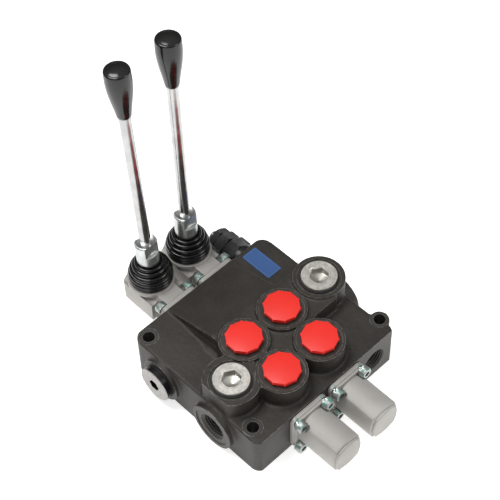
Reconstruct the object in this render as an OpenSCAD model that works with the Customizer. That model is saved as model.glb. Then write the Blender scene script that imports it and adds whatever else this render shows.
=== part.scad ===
// Two-spool hydraulic monoblock valve with hand levers.
// X runs along the spools: levers at -X, end caps at +X. Y runs across the spools and Z is up.
// The origin is on the mounting face, under the middle of the four work ports.
// Spool 1, lever 1 and end cap 1 are on the -Y side, and number 2 is on the +Y side.

/* [Casting] */
// Distance between the two spools, and between the two work ports of one spool
pitch = 35; // [34.8:0.1:35.4]
// Height of the spool axes above the mounting face
spool_z = 18; // [17.8:0.1:18.4]
// Height of the low deck that carries the mounting holes
deck_z = 35; // [34.6:0.1:35.6]
// Height of the work port bosses
port_z = 50; // [49.6:0.1:50.4]
// Face that the lever housings bolt to
lever_face = -80; // [-80.5:0.1:-79.5]
// Face that the end caps bolt to
end_face = 40; // [39.8:0.1:40.4]
// Outer radius of a work port boss
boss_r = 17.2; // [16.6:0.1:17.3]
// Diameter of the mounting holes
bolt_d = 8.5; // [8:0.1:9]

/* [Spools] */
// Diameter of the spool lands
spool_d = 16; // [15.8:0.1:16]
// Diameter of the reduced spool core between lands
core_d = 11; // [9:0.5:12]
// Radial running clearance of the spools in the casting
spool_gap = 0.04; // [0.02:0.01:0.08]

/* [Levers] */
// Distance of the lever pivots from the origin, along X
lever_x = -111; // [-111.3:0.1:-110.7]
// Height of the lever pivots above the spool axes
lever_arm = 15; // [14.8:0.1:15.2]
// Lean of lever 1 towards -X, in degrees
lean_1 = 1.9; // [0:0.1:2.2]
// Lean of lever 2 towards -X, in degrees
lean_2 = 1.4; // [0:0.1:2.2]
// Play that spreads the two levers apart, in degrees each
splay = 0.65; // [0:0.05:0.7]
// Diameter of the lever rods
rod_d = 8; // [7.8:0.1:8]
// Height of the knob tops above the lever pivots
knob_top = 198; // [190:1:200]
// Length of the knobs
knob_h = 40; // [38:0.5:44]

/* [End caps] */
// Side of the square flanges of the caps and lever housings
flange_w = 31; // [30.6:0.1:31.4]
// Half of the distance between the flange screws
screw_half = 12.25; // [12:0.05:12.4]
// Overall length of an end cap
cap_len = 38.6; // [38.6:0.1:40]

/* [Plugs] */
// Radius of the threaded service ports
port_r = 9.3; // [9.2:0.05:9.4]
// Radius of the end-face inlet port
inlet_r = 9.3; // [9:0.1:9.5]
// Diameter of the round plug heads on the top
plug_head_d = 25; // [24.6:0.1:25.4]
// Width across flats of the key socket in the top plugs
plug_key = 12; // [10:0.5:12]

/* [Hidden] */
$fn = 64;

arc_steps = 6;
cut = 0.5;

// Outline of the casting: its walls, the step in the rear wall, and the corner radii
front_wall = -62;
rear_wall = 64.5;
rear_low_wall = 61.5;
step_x = -36;
step_w = 6;
step_r = 2;
lever_front_r = 8;
lever_rear_r = 9;
end_front_r = 4.5;
end_rear_r = 5;
mount_holes = [[-72.5, -54], [27.5, -54], [27.5, 66]];
mount_spot_r = 6.8;
lug_r = 7;

// Raised middle, the web beside it, and the low shoulder towards the front plug boss
web_z = 47.5;
ramp_half_w = 30;
web_end_x = 1;
web_low_y = 10;
web_high_y = 52;
shoulder_x = [-64, -18, 0];
shoulder_rise = 7;
port_spot_r = 15.4;

// Plug bosses and side ports: places, faces and boss radii
plug_boss_z = 49;
front_plug = [-1, -45];
front_boss_r = 19.3;
front_boss_flat = -60.4;
rear_plug = [-19, 55];
rear_boss_r = 18;
plug_bore_r = 9.8;
plug_spot_r = 15.2;
tank_port_x = 1;
tank_port_face = -66.5;
tank_boss_r = 17.3;
side_plug_x = -50;
side_plug_face = -65.5;
side_boss_r = 16;
rear_side_x = -15;
rear_side_face = 73;
rear_side_root = 45;
rear_side_depth = 17;
rear_side_plug_l = 8;
rear_side_boss_r = 17.6;
inlet_y = 48;
inlet_z = spool_z - 1.5;
inlet_depth = 16;
inlet_chamfer = 0.6;
inlet_gallery_r = 6;
port_chamfer = 1.8;
plug_bore_floor = 9;
check_bore_r = 7;
side_bore_end = -42;

// Galleries inside the casting: their radii, and the low tank gallery's place
tank_cross_r = 4.5;
tank_cross_start = -50;
tank_gallery_r = 5.5;
tank_gallery_y = -47;
relief_gallery_r = 3.4;
pressure_gallery_r = 3.6;
pressure_gallery_z = 31;
pressure_cross_r = 4;

// Relief valve: its axis, and the places of its steps along X
relief_y = 44.5;
relief_z = 20;
relief_tip = -115;
nut_back = -111;
nut_front = -105.2;
adjuster_back = -105;
groove_back = -96.4;
groove_front = -95.8;
hex_front = -85.4;
shank_end = -62;
nose_end = -41;
relief_bore_r = 8.9;
relief_nose_r = 7;
relief_bore_end = -60;
relief_gallery_x = -38;
adjuster_r = 4;
adjuster_end = -68;
cartridge_bore_r = 4.6;
lock_nut_flats = 17;
adjuster_flats = 19;
cartridge_flats = 21;
groove_bottom_r = 8.6;
collar_r = 10.6;
relief_seal_r = 10.2;
relief_seal_t = 1.2;

seat_depth = 1;
spot_depth = 0.5;
groove_w = 8;
groove_r = 10.8;
tank_groove_x = -46;
front_seal_w = 3;
rear_seal_x = 28;
rear_seal_w = 3;
seal_r = 10.2;
screw_r = 2.5;
screw_head_r = 4.25;
screw_head_h = 5;
screw_key = 4;
screw_key_depth = 2.5;
head_gap = 0.35;
tap_r = 2.1;

spool_end = 38;
eye_r = 7;
eye_hole_r = 4.15;
ball_r = 4;
tongue_half = 4;

pivot_z = spool_z + lever_arm;
housing_back = lever_x - 16;
housing_front = lever_x + 16;
housing_half = 14.5;
housing_top = 31;
pad_r = 16.6;
pad_t = 1.5;
flange_t = 4.5;
neck_half = 8;
pin_r = 3;
ear_gap = 6.5;
ear_t = 3.5;
ear_r = 5.4;

socket_low = 11;
socket_high = 37.5;
socket_r = 8;
wrench_half = 5.6;
wrench_h = 10;
boot_high = 52;
boot_r = 15.7;
rod_low = 24;
knob_low = knob_top - knob_h;

cap_flange_t = 5;
cap_bore_r = 10.6;
cap_wall = 4;
cap_half = 12.8;
seat_t = 1.8;
hub_l = 3;
inner_seat_x = end_face + 3.2;
outer_seat_x = end_face + 19;
bolt_shank_r = 3;
bolt_head_x = end_face + 26.4;

// Work port caps
grip_r = 13;
grip_low = port_z + 1;
grip_high = port_z + 3.7;
grip_neck_r = 11.4;
cap_stem_l = 9;

check_seat_z = 26;
plate_corner = [-76.4, 37.2];
plate_size = [26.4, 12.7, 0.3];
plug_stem_bottom = 39;

function spool_y(i) = (i == 1 ? -1 : 1) * pitch / 2;
function unit(v) = v / norm(v);
function wrapped(a) = a > 180 ? a - 360 : a < -180 ? a + 360 : a;

// Points along the arc of radius r that rounds one corner of an outline
function corner_arc(before, corner, after, r) =
    let (u = unit(before - corner), v = unit(after - corner), half = acos(u * v) / 2)
    let (centre = corner + unit(u + v) * r / sin(half))
    let (first = corner + u * r / tan(half) - centre, last = corner + v * r / tan(half) - centre)
    let (start = atan2(first.y, first.x), turn = wrapped(atan2(last.y, last.x) - start))
    [for (k = [0:arc_steps]) let (a = start + turn * k / arc_steps) centre + r * [cos(a), sin(a)]];

// Outline through corners given as [x, y, radius]
function rounded(corners) =
    let (n = len(corners), at = [for (c = corners) [c.x, c.y]])
    [for (i = [0:n - 1]) each corner_arc(at[(i + n - 1) % n], at[i], at[(i + 1) % n], corners[i].z)];

function square_outline(half, r) =
    rounded([[-half, -half, r], [half, -half, r], [half, half, r], [-half, half, r]]);

// Rod along X between two places on the axis y, z
module x_rod(x0, x1, y, z, r) {
    translate([x0, y, z]) rotate([0, 90, 0]) cylinder(h = x1 - x0, r = r);
}

// Rod along Y between two places on the axis x, z
module y_rod(y0, y1, x, z, r) {
    translate([x, y1, z]) rotate([90, 0, 0]) cylinder(h = y1 - y0, r = r);
}

// Six-sided bar along X, with corners at its top and bottom
module x_hex(x0, x1, y, z, flats) {
    translate([x0, y, z]) rotate([0, 90, 0]) cylinder(h = x1 - x0, r = flats / 2 / cos(30), $fn = 6);
}

// An outline in the Y-Z plane, extruded along X from x0 to x1
module along_x(x0, x1) {
    translate([x0, 0, 0]) rotate([90, 0, 90]) linear_extrude(x1 - x0) children();
}

// Straight drilling between two points
module drilling(from, to, r) {
    way = to - from;
    translate(from) rotate([0, acos(way.z / norm(way)), atan2(way.y, way.x)])
        cylinder(h = norm(way), r = r);
}

// The four screw places of a flange, in its own plane
module at_flange_screws() {
    for (y = [-1, 1], z = [-1, 1]) translate([0, y * screw_half, z * screw_half]) children();
}

// Coil spring along Z, as a tube swept round a helix
module coil_spring(coil_r, wire_r, height, turns) {
    sides = 8;
    rings = round(turns * 20);
    rise = height - 2 * wire_r;
    points = [for (i = [0:rings], k = [0:sides - 1])
        let (t = i / rings, a = 360 * turns * t, b = 360 * k / sides)
        [(coil_r + wire_r * cos(b)) * cos(a), (coil_r + wire_r * cos(b)) * sin(a),
            wire_r + rise * t + wire_r * sin(b)]];
    tube = [for (i = [0:rings - 1], k = [0:sides - 1]) let (j = (k + 1) % sides)
        [i * sides + k, (i + 1) * sides + k, (i + 1) * sides + j, i * sides + j]];
    start_face = [for (k = [0:sides - 1]) k];
    end_face_ring = [for (k = [sides - 1:-1:0]) rings * sides + k];
    polyhedron(points = points, faces = concat(tube, [start_face], [end_face_ring]));
}

// Cast outside of the monoblock, before machining
module casting() {
    linear_extrude(deck_z) polygon(rounded([
        [lever_face, front_wall, lever_front_r], [end_face, front_wall, end_front_r],
        [end_face, rear_wall, end_rear_r], [step_x + step_w, rear_wall, step_r],
        [step_x, rear_low_wall, step_r], [lever_face, rear_low_wall, lever_rear_r]]));
    translate(mount_holes[2]) cylinder(h = deck_z, r = lug_r);
    // Raised middle over the spools, ramping up from the lever face
    translate([0, ramp_half_w, 0]) rotate([90, 0, 0]) linear_extrude(2 * ramp_half_w) polygon([
        [lever_face, spool_z], [lever_face, deck_z],
        [step_x, web_z], [pitch / 2, web_z], [pitch / 2, spool_z]]);
    // Low shoulder that climbs to the front plug boss
    translate([0, -ramp_half_w + 1, 0]) rotate([90, 0, 0]) linear_extrude(ramp_half_w) polygon([
        [shoulder_x[0], spool_z], [shoulder_x[0], deck_z], [shoulder_x[1], deck_z + shoulder_rise],
        [shoulder_x[2], deck_z + shoulder_rise], [shoulder_x[2], spool_z]]);
    for (x = [-1, 1], y = [-1, 1]) translate([x * pitch / 2, y * pitch / 2, 0])
        cylinder(h = port_z, r = boss_r);
    // The front plug boss is cut off flat just behind the front wall
    intersection() {
        translate(front_plug) cylinder(h = plug_boss_z, r = front_boss_r);
        translate([lever_face, front_boss_flat, 0])
            cube([end_face - lever_face, -front_boss_flat, plug_boss_z]);
    }
    translate(rear_plug) cylinder(h = plug_boss_z, r = rear_boss_r);
    // Web between the port bosses and the rear plug boss
    translate([step_x, web_low_y, 0]) cube([web_end_x - step_x, web_high_y - web_low_y, web_z]);
    y_rod(tank_port_face, front_plug.y, tank_port_x, spool_z, tank_boss_r);
    y_rod(side_plug_face, front_plug.y, side_plug_x, spool_z, side_boss_r);
    y_rod(rear_side_root, rear_side_face, rear_side_x, spool_z, rear_side_boss_r);
}

// Bores, grooves and ports of one spool
module spool_machining(i) {
    y = spool_y(i);
    x_rod(lever_face - cut, end_face + cut, y, spool_z, spool_d / 2 + spool_gap);
    for (x = [tank_groove_x, -pitch / 2, 0, pitch / 2])
        x_rod(x - groove_w / 2, x + groove_w / 2, y, spool_z, groove_r);
    x_rod(lever_face - cut, lever_face + front_seal_w, y, spool_z, seal_r);
    x_rod(rear_seal_x, rear_seal_x + rear_seal_w, y, spool_z, seal_r);
    for (x = [-1, 1]) translate([x * pitch / 2, y, 0]) {
        translate([0, 0, spool_z + 5]) cylinder(h = port_z, r = port_r);
        translate([0, 0, port_z - spot_depth]) cylinder(h = 5, r = port_spot_r);
    }
    translate([0, y, spool_z]) at_flange_screws() {
        x_rod(lever_face - cut, lever_face + 14, 0, 0, tap_r);
        x_rod(end_face - 13, end_face + cut, 0, 0, tap_r);
    }
}

// Top plug bores, side ports, inlet, relief bore and the galleries that join them
module service_machining() {
    translate(front_plug) {
        translate([0, 0, plug_bore_floor]) cylinder(h = plug_boss_z, r = plug_bore_r);
        translate([0, 0, plug_boss_z - seat_depth]) cylinder(h = 5, r = plug_spot_r);
    }
    translate(rear_plug) {
        translate([0, 0, plug_bore_floor]) cylinder(h = plug_boss_z, r = check_bore_r);
        translate([0, 0, check_seat_z]) cylinder(h = plug_boss_z, r = plug_bore_r);
        translate([0, 0, plug_boss_z - seat_depth]) cylinder(h = 5, r = plug_spot_r);
    }
    y_rod(tank_port_face - cut, front_plug.y, tank_port_x, spool_z, port_r);
    translate([tank_port_x, tank_port_face - 0.01, spool_z]) rotate([-90, 0, 0])
        cylinder(h = port_chamfer, r1 = port_r + port_chamfer, r2 = port_r);
    y_rod(side_plug_face - cut, side_bore_end, side_plug_x, spool_z, port_r);
    y_rod(rear_side_face - rear_side_depth, rear_side_face + cut, rear_side_x, spool_z, port_r);
    x_rod(end_face - inlet_depth, end_face + cut, inlet_y, inlet_z, inlet_r);
    x_rod(rear_plug.x, end_face - inlet_depth + cut, inlet_y, inlet_z, inlet_gallery_r);
    translate([end_face - inlet_chamfer, inlet_y, inlet_z]) rotate([0, 90, 0])
        cylinder(h = inlet_chamfer + 0.01, r1 = inlet_r, r2 = inlet_r + inlet_chamfer);
    x_rod(lever_face - cut, relief_bore_end, relief_y, relief_z, relief_bore_r);
    x_rod(relief_bore_end - cut, relief_gallery_x, relief_y, relief_z, relief_nose_r);
    drilling([relief_gallery_x, relief_y, relief_z], [rear_plug.x, rear_plug.y, spool_z], relief_gallery_r);
    // Tank gallery across both spools, and along to the tank port
    y_rod(tank_cross_start, relief_y, tank_groove_x, spool_z, tank_cross_r);
    x_rod(side_plug_x, front_plug.x, tank_gallery_y, spool_z, tank_gallery_r);
    // Pressure gallery from above the check seat to the middle grooves
    drilling([rear_plug.x, rear_plug.y, pressure_gallery_z], [0, pitch / 2, spool_z + 1],
        pressure_gallery_r);
    y_rod(-pitch / 2, pitch / 2, 0, spool_z, pressure_cross_r);
}

module valve_body() {
    color([0.26, 0.25, 0.23]) difference() {
        casting();
        for (i = [1, 2]) spool_machining(i);
        service_machining();
        for (place = mount_holes) translate(place) {
            translate([0, 0, -cut]) cylinder(h = deck_z + 10, r = bolt_d / 2);
            translate([0, 0, deck_z - spot_depth]) cylinder(h = 20, r = mount_spot_r);
        }
    }
}

// Spool: guide lands, port lands and a flat tongue with the hole for the lever ball
module spool(i) {
    land_r = spool_d / 2;
    port_land = 6;
    lands = [[lever_face - 8, -53], [-39, -32],
        [-pitch / 2 - port_land, -pitch / 2 + port_land], [pitch / 2 - port_land, spool_end]];
    color([0.72, 0.73, 0.75]) translate([0, spool_y(i), spool_z]) difference() {
        union() {
            x_rod(lever_face - 8, spool_end, 0, 0, core_d / 2);
            for (land = lands) x_rod(land[0], land[1], 0, 0, land_r);
            x_rod(lever_x - eye_r, lever_face - 8, 0, 0, 6.9);
        }
        for (z = [-1, 1]) translate([lever_x - 10, -10, z * (tongue_half + 5) - 5]) cube([19, 20, 10]);
        translate([lever_x, 0, -10]) cylinder(h = 20, r = eye_hole_r);
        x_rod(spool_end - 9, spool_end + cut, 0, 0, bolt_shank_r);
    }
}

// Wiper rings where the spools leave the casting
module spool_seals(x0, x1) {
    color([0.1, 0.1, 0.1]) for (i = [1, 2]) difference() {
        x_rod(x0, x1, spool_y(i), spool_z, seal_r);
        x_rod(x0 - cut, x1 + cut, spool_y(i), spool_z, spool_d / 2 + 0.06);
    }
}

// Square flange with rounded corners and four clear screw holes
module flange(x0, x1) {
    along_x(x0, x1) polygon(square_outline(flange_w / 2, 4));
}

// Socket-head screw along +X from the seat under its head; the head points to -X
module socket_screw(length) {
    difference() {
        union() {
            x_rod(-screw_head_h, 0, 0, 0, screw_head_r);
            x_rod(0, length, 0, 0, screw_r - 0.4);
        }
        x_hex(-screw_head_h - cut, -screw_head_h + screw_key_depth, 0, 0, screw_key);
    }
}

// Lever housing in its own frame: origin where the spool axis meets the casting
module lever_housing(i) {
    back = housing_back - lever_face;
    front = housing_front - lever_face;
    x = lever_x - lever_face;
    top = housing_top - spool_z;
    color([0.76, 0.74, 0.72]) translate([lever_face, spool_y(i), spool_z]) difference() {
        union() {
            difference() {
                union() {
                    flange(-flange_t, 0);
                    // Neck between the flange and the block
                    translate([front - 2, -neck_half, -12])
                        cube([-front - flange_t + 3, 2 * neck_half, top + 12]);
                    intersection() {
                        translate([0, 0, -15]) linear_extrude(15 + top) polygon(rounded([
                            [back, -housing_half, 5], [front, -housing_half, 2],
                            [front, housing_half, 2], [back, housing_half, 5]]));
                        along_x(back - 1, front + 1) polygon(rounded([
                            [-housing_half, -housing_half, 8], [housing_half, -housing_half, 8],
                            [housing_half, top, 1.5], [-housing_half, top, 1.5]]));
                    }
                }
                // Key grooves behind the screws, and the screw holes
                at_flange_screws() {
                    x_rod(back - cut, -flange_t, 0, 0, screw_head_r + head_gap);
                    x_rod(-flange_t - cut, cut, 0, 0, screw_r);
                }
            }
            // Round pad under the boot, and the ears that hold the pivot pin
            translate([x, 0, top - cut]) cylinder(h = pad_t + cut, r = pad_r);
            for (y = [-1, 1]) translate([x, y * (ear_gap + ear_t / 2), 0]) {
                y_rod(-ear_t / 2, ear_t / 2, 0, lever_arm, ear_r);
                translate([-ear_r, -ear_t / 2, 5]) cube([2 * ear_r, ear_t, lever_arm - 5]);
            }
        }
        x_rod(back + 3, cut, 0, 0, 8.6);
        translate([x, 0, -8]) cylinder(h = 40, r = 6.4);
        translate([x - 9, -ear_gap, -2]) cube([18, 2 * ear_gap, 40]);
        y_rod(-20, 20, x, lever_arm, pin_r);
    }
}

module lever_housing_screws() {
    color([0.8, 0.82, 0.82]) for (i = [1, 2])
        translate([lever_face - flange_t, spool_y(i), spool_z]) at_flange_screws()
            socket_screw(flange_t + 12);
}

module lever_pin(i) {
    color([0.6, 0.6, 0.62])
        y_rod(spool_y(i) - ear_gap - ear_t, spool_y(i) + ear_gap + ear_t, lever_x, pivot_z, pin_r);
}

// Places a piece drawn along the lever's own axis, with the pivot at its origin
module on_lever(i) {
    translate([lever_x, spool_y(i), pivot_z])
        rotate([i == 1 ? splay : -splay, i == 1 ? -lean_1 : -lean_2, 0]) children();
}

// Forged lever foot: ball in the spool, pivot hub, and the socket above the boot
module lever_socket(i) {
    color([0.82, 0.83, 0.83]) difference() {
        union() {
            translate([lever_x, spool_y(i), pivot_z]) {
                translate([0, 0, -lever_arm]) sphere(r = ball_r);
                translate([0, 0, -lever_arm]) cylinder(h = lever_arm, r = 2.4);
                y_rod(-ear_gap + 0.3, ear_gap - 0.3, 0, 0, 5.3);
            }
            on_lever(i) {
                cylinder(h = socket_low + 1, r = 5.2);
                translate([0, 0, socket_low]) cylinder(h = socket_high - socket_low, r = socket_r);
            }
        }
        y_rod(spool_y(i) - 10, spool_y(i) + 10, lever_x, pivot_z, pin_r + 0.05);
        on_lever(i) {
            translate([0, 0, rod_low]) cylinder(h = 30, r = rod_d / 2);
            // Wrench flats at the top
            for (x = [-1, 1]) translate([x * (wrench_half + 5) - 5, -10, socket_high - wrench_h])
                cube([10, 20, wrench_h + 1]);
        }
    }
}

module lever_rod(i) {
    color([0.85, 0.85, 0.85]) on_lever(i) translate([0, 0, rod_low])
        cylinder(h = knob_low + 22 - rod_low, r = rod_d / 2);
}

// Tapered grip: half outline of radius and height, turned round the rod
module lever_knob(i) {
    insert_z = knob_low + 9;
    color([0.12, 0.12, 0.12]) on_lever(i) difference() {
        rotate_extrude() polygon([
            [0, knob_low], [4.2, knob_low], [5, knob_low + 1.1], [6.6, knob_low + 12],
            [7.7, knob_low + 19.5], [8.35, knob_low + 26], [8.75, knob_top - 6],
            [8.7, knob_top - 1.4], [8, knob_top - 0.5], [0, knob_top]]);
        translate([0, 0, knob_low - cut]) cylinder(h = 22 + cut, r = rod_d / 2);
        translate([0, 0, insert_z]) cylinder(h = 13, r = 5.4);
    }
}

// Brass bush moulded into the knob
module knob_insert(i) {
    color([0.8, 0.65, 0.3]) on_lever(i) translate([0, 0, knob_low + 9]) difference() {
        cylinder(h = 13, r = 5.4);
        translate([0, 0, -cut]) cylinder(h = 14, r = rod_d / 2);
    }
}

// Rubber bellows over the lever pivot: ribs on a dome, open round the lever socket
module lever_boot(i) {
    ribs = 7;
    low = housing_top + pad_t;
    neck_r = 8.9;
    wall = 1.4;
    steps = 2 * ribs + 1;
    function dome(t) = boot_r * sqrt(1 - 0.578 * pow(t, 2.2));
    radii = [for (k = [0:steps]) dome(k / steps) - (k % 2 == 0 ? 1.2 : 0)];
    heights = [for (k = [0:steps]) low + (boot_high - low) * k / steps];
    outer = [for (k = [0:steps]) [radii[k], heights[k]]];
    inner = [for (k = [steps:-1:0]) [max(radii[k] - wall, neck_r), heights[k]]];
    color([0.07, 0.07, 0.07]) translate([lever_x, spool_y(i), 0])
        rotate_extrude() polygon(concat(outer, inner));
}

// End cap in its own frame: origin where the spool axis meets the casting
module end_cap(i) {
    color([0.78, 0.76, 0.74]) translate([end_face, spool_y(i), spool_z]) difference() {
        union() {
            flange(0, cap_flange_t);
            along_x(cap_flange_t - cut, cap_len - 2) polygon(square_outline(cap_half, 9));
            along_x(cap_len - 2.5, cap_len) polygon(square_outline(cap_half - 1.2, 8.5));
        }
        x_rod(-cut, cap_len - cap_wall, 0, 0, cap_bore_r);
        at_flange_screws() {
            x_rod(-cut, cap_flange_t + cut, 0, 0, screw_r);
            x_rod(cap_flange_t, cap_flange_t + screw_head_h + 1.5, 0, 0, screw_head_r + head_gap);
        }
    }
}

module end_cap_screws() {
    color([0.8, 0.82, 0.82]) for (i = [1, 2])
        translate([end_face + cap_flange_t, spool_y(i), spool_z]) at_flange_screws()
            mirror([1, 0, 0]) socket_screw(cap_flange_t + 11);
}

module centring_spring(i) {
    start = inner_seat_x + seat_t + 0.05;
    color([0.5, 0.5, 0.52]) translate([start, spool_y(i), spool_z]) rotate([0, 90, 0])
        coil_spring(8, 1.1, outer_seat_x - start - 0.05, 4.5);
}

// Hat-shaped seat: flange in the cap bore, hub inside the spring
module spring_seat(i, x, hub_x) {
    color([0.62, 0.62, 0.64]) translate([x, spool_y(i), spool_z]) difference() {
        union() {
            x_rod(0, seat_t, 0, 0, cap_bore_r);
            x_rod(hub_x, hub_x + seat_t + hub_l, 0, 0, 5.5);
        }
        x_rod(-5, 8, 0, 0, bolt_shank_r + 0.4);
    }
}

// Shoulder bolt in the spool end that carries the spring seats
module spool_bolt(i) {
    color([0.45, 0.45, 0.47]) translate([0, spool_y(i), spool_z]) difference() {
        union() {
            x_rod(spool_end - 9, bolt_head_x, 0, 0, bolt_shank_r);
            x_rod(bolt_head_x, bolt_head_x + 3, 0, 0, 5);
        }
        x_hex(bolt_head_x + 1, bolt_head_x + 4, 0, 0, 4);
    }
}

// Plastic transport cap in a work port, with a ten-sided grip over a round neck
module port_cap(x, i) {
    color([0.95, 0.2, 0.17]) translate([x * pitch / 2, spool_y(i), 0]) difference() {
        union() {
            translate([0, 0, grip_low]) cylinder(h = grip_high - grip_low, r = grip_r, $fn = 10);
            translate([0, 0, port_z - spot_depth]) cylinder(h = 2, r = grip_neck_r);
            translate([0, 0, port_z - cap_stem_l]) cylinder(h = cap_stem_l + 1, r = port_r - 0.15);
        }
        translate([0, 0, port_z - cap_stem_l - cut]) cylinder(h = cap_stem_l + 2, r = port_r - 1.8);
    }
}

// Round-headed plug with a key socket; its stem has a guide hole for a check poppet
module top_plug(place) {
    seat_z = plug_boss_z - seat_depth + 0.8;
    color([0.85, 0.84, 0.8]) translate(place) difference() {
        union() {
            translate([0, 0, seat_z]) cylinder(h = 2.4, r = plug_head_d / 2);
            translate([0, 0, plug_stem_bottom]) cylinder(h = seat_z - plug_stem_bottom + cut, r = 9.7);
        }
        translate([0, 0, seat_z - 3.6]) cylinder(h = 10, r = plug_key / 2 / cos(30), $fn = 6);
        translate([0, 0, plug_stem_bottom - cut]) cylinder(h = 5 + cut, r = 4.08);
    }
}

module top_plug_seals() {
    color([0.1, 0.1, 0.1]) for (place = [front_plug, rear_plug])
        translate([place.x, place.y, plug_boss_z - seat_depth]) difference() {
            cylinder(h = 0.8, r = 13.6);
            translate([0, 0, -cut]) cylinder(h = 2, r = 9.85);
        }
}

module side_plug() {
    head_y = side_plug_face - 1;
    color([0.55, 0.54, 0.52]) difference() {
        union() {
            y_rod(head_y - 4.5, head_y, side_plug_x, spool_z, 13);
            y_rod(head_y - cut, side_plug_face + 13, side_plug_x, spool_z, port_r - 0.1);
        }
        translate([side_plug_x, head_y + 1, spool_z]) rotate([90, 0, 0])
            cylinder(h = 10, r = 8 / 2 / cos(30), $fn = 6);
    }
}

module side_plug_seal() {
    color([0.1, 0.1, 0.1]) difference() {
        y_rod(side_plug_face - 1, side_plug_face, side_plug_x, spool_z, 12.4);
        y_rod(side_plug_face - 2, side_plug_face + 1, side_plug_x, spool_z, port_r);
    }
}

module rear_side_plug() {
    color([0.3, 0.3, 0.3]) difference() {
        y_rod(rear_side_face - spot_depth - rear_side_plug_l, rear_side_face - spot_depth,
            rear_side_x, spool_z, port_r - 0.1);
        translate([rear_side_x, rear_side_face + 1, spool_z]) rotate([90, 0, 0])
            cylinder(h = 7, r = 10 / 2 / cos(30), $fn = 6);
    }
}

// Check valve poppet below the rear top plug, lifting along Z
module inlet_check_poppet() {
    color([0.6, 0.6, 0.62]) translate([rear_plug.x, rear_plug.y, check_seat_z]) {
        cylinder(h = 3, r = 9);
        cylinder(h = 14.5, r = 4);
    }
}

module inlet_check_spring() {
    low = check_seat_z + 3.05;
    color([0.5, 0.5, 0.52]) translate([rear_plug.x, rear_plug.y, low])
        coil_spring(6, 0.7, plug_stem_bottom - low - 0.05, 5);
}

// Relief valve body screwed into the lever face: adjuster hex, groove, wrench hex and collar
module relief_cartridge() {
    color([0.28, 0.28, 0.29]) difference() {
        union() {
            x_hex(adjuster_back, groove_back, relief_y, relief_z, adjuster_flats);
            x_rod(groove_back - cut, groove_front + cut, relief_y, relief_z, groove_bottom_r);
            x_hex(groove_front, hex_front, relief_y, relief_z, cartridge_flats);
            x_rod(hex_front - cut, lever_face - relief_seal_t, relief_y, relief_z, collar_r);
            x_rod(lever_face - relief_seal_t - cut, shank_end, relief_y, relief_z, relief_bore_r - 0.1);
            x_rod(shank_end - cut, nose_end, relief_y, relief_z, relief_nose_r - 0.6);
        }
        x_rod(adjuster_back - cut, hex_front + cut, relief_y, relief_z, adjuster_r + 0.05);
        x_rod(hex_front - cut, nose_end + 1, relief_y, relief_z, cartridge_bore_r);
        for (a = [45, 135]) translate([-45.8, relief_y, relief_z]) rotate([a, 0, 0])
            cylinder(h = 20, r = 1, center = true);
    }
}

module relief_lock_nut() {
    color([0.08, 0.08, 0.08]) difference() {
        x_hex(nut_back, nut_front, relief_y, relief_z, lock_nut_flats);
        x_rod(nut_back - cut, nut_front + cut, relief_y, relief_z, adjuster_r + 0.05);
    }
}

module relief_adjusting_screw() {
    color([0.8, 0.8, 0.8]) difference() {
        x_rod(relief_tip, adjuster_end, relief_y, relief_z, adjuster_r);
        x_hex(relief_tip - 1, relief_tip + 4, relief_y, relief_z, screw_key);
    }
}

module relief_spring() {
    color([0.5, 0.5, 0.52]) translate([adjuster_end + 0.05, relief_y, relief_z]) rotate([0, 90, 0])
        coil_spring(3.2, 0.55, 16.9, 7);
}

module relief_poppet() {
    color([0.6, 0.6, 0.62]) {
        x_rod(-51, -46.9, relief_y, relief_z, 4.54);
        translate([-46.95, relief_y, relief_z]) rotate([0, 90, 0]) cylinder(h = 2.9, r1 = 3.4, r2 = 1.4);
    }
}

module relief_seat() {
    color([0.55, 0.55, 0.57]) difference() {
        x_rod(-44, nose_end, relief_y, relief_z, cartridge_bore_r);
        x_rod(-45, -40, relief_y, relief_z, 2.2);
    }
}

module relief_seal() {
    color([0.1, 0.1, 0.1]) difference() {
        x_rod(lever_face - relief_seal_t, lever_face, relief_y, relief_z, relief_seal_r);
        x_rod(lever_face - 2, lever_face + 1, relief_y, relief_z, relief_bore_r - 0.1);
    }
}

module name_plate() {
    color([0.28, 0.42, 0.66]) translate([plate_corner.x, plate_corner.y, deck_z]) cube(plate_size);
}

valve_body();
spool(1);  // spool_1
spool(2);  // spool_2
spool_seals(lever_face, lever_face + front_seal_w);  // front_spool_seals
spool_seals(rear_seal_x, rear_seal_x + rear_seal_w);  // rear_spool_seals
lever_housing(1);  // lever_housing_1
lever_housing(2);  // lever_housing_2
lever_housing_screws();
lever_pin(1);  // lever_pin_1
lever_pin(2);  // lever_pin_2
lever_socket(1);  // lever_socket_1
lever_socket(2);  // lever_socket_2
lever_rod(1);  // lever_rod_1
lever_rod(2);  // lever_rod_2
lever_knob(1);  // lever_knob_1
lever_knob(2);  // lever_knob_2
knob_insert(1);  // knob_insert_1
knob_insert(2);  // knob_insert_2
lever_boot(1);  // lever_boot_1
lever_boot(2);  // lever_boot_2
end_cap(1);  // end_cap_1
end_cap(2);  // end_cap_2
end_cap_screws();
centring_spring(1);  // centring_spring_1
centring_spring(2);  // centring_spring_2
spring_seat(1, inner_seat_x, 0);  // inner_spring_seat_1
spring_seat(2, inner_seat_x, 0);  // inner_spring_seat_2
spring_seat(1, outer_seat_x, -hub_l);  // outer_spring_seat_1
spring_seat(2, outer_seat_x, -hub_l);  // outer_spring_seat_2
spool_bolt(1);  // spool_bolt_1
spool_bolt(2);  // spool_bolt_2
port_cap(-1, 1);  // port_cap_a1
port_cap(1, 1);  // port_cap_b1
port_cap(-1, 2);  // port_cap_a2
port_cap(1, 2);  // port_cap_b2
top_plug(front_plug);  // front_top_plug
top_plug(rear_plug);  // rear_top_plug
top_plug_seals();
side_plug();
side_plug_seal();
rear_side_plug();
inlet_check_poppet();
inlet_check_spring();
relief_cartridge();
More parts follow.
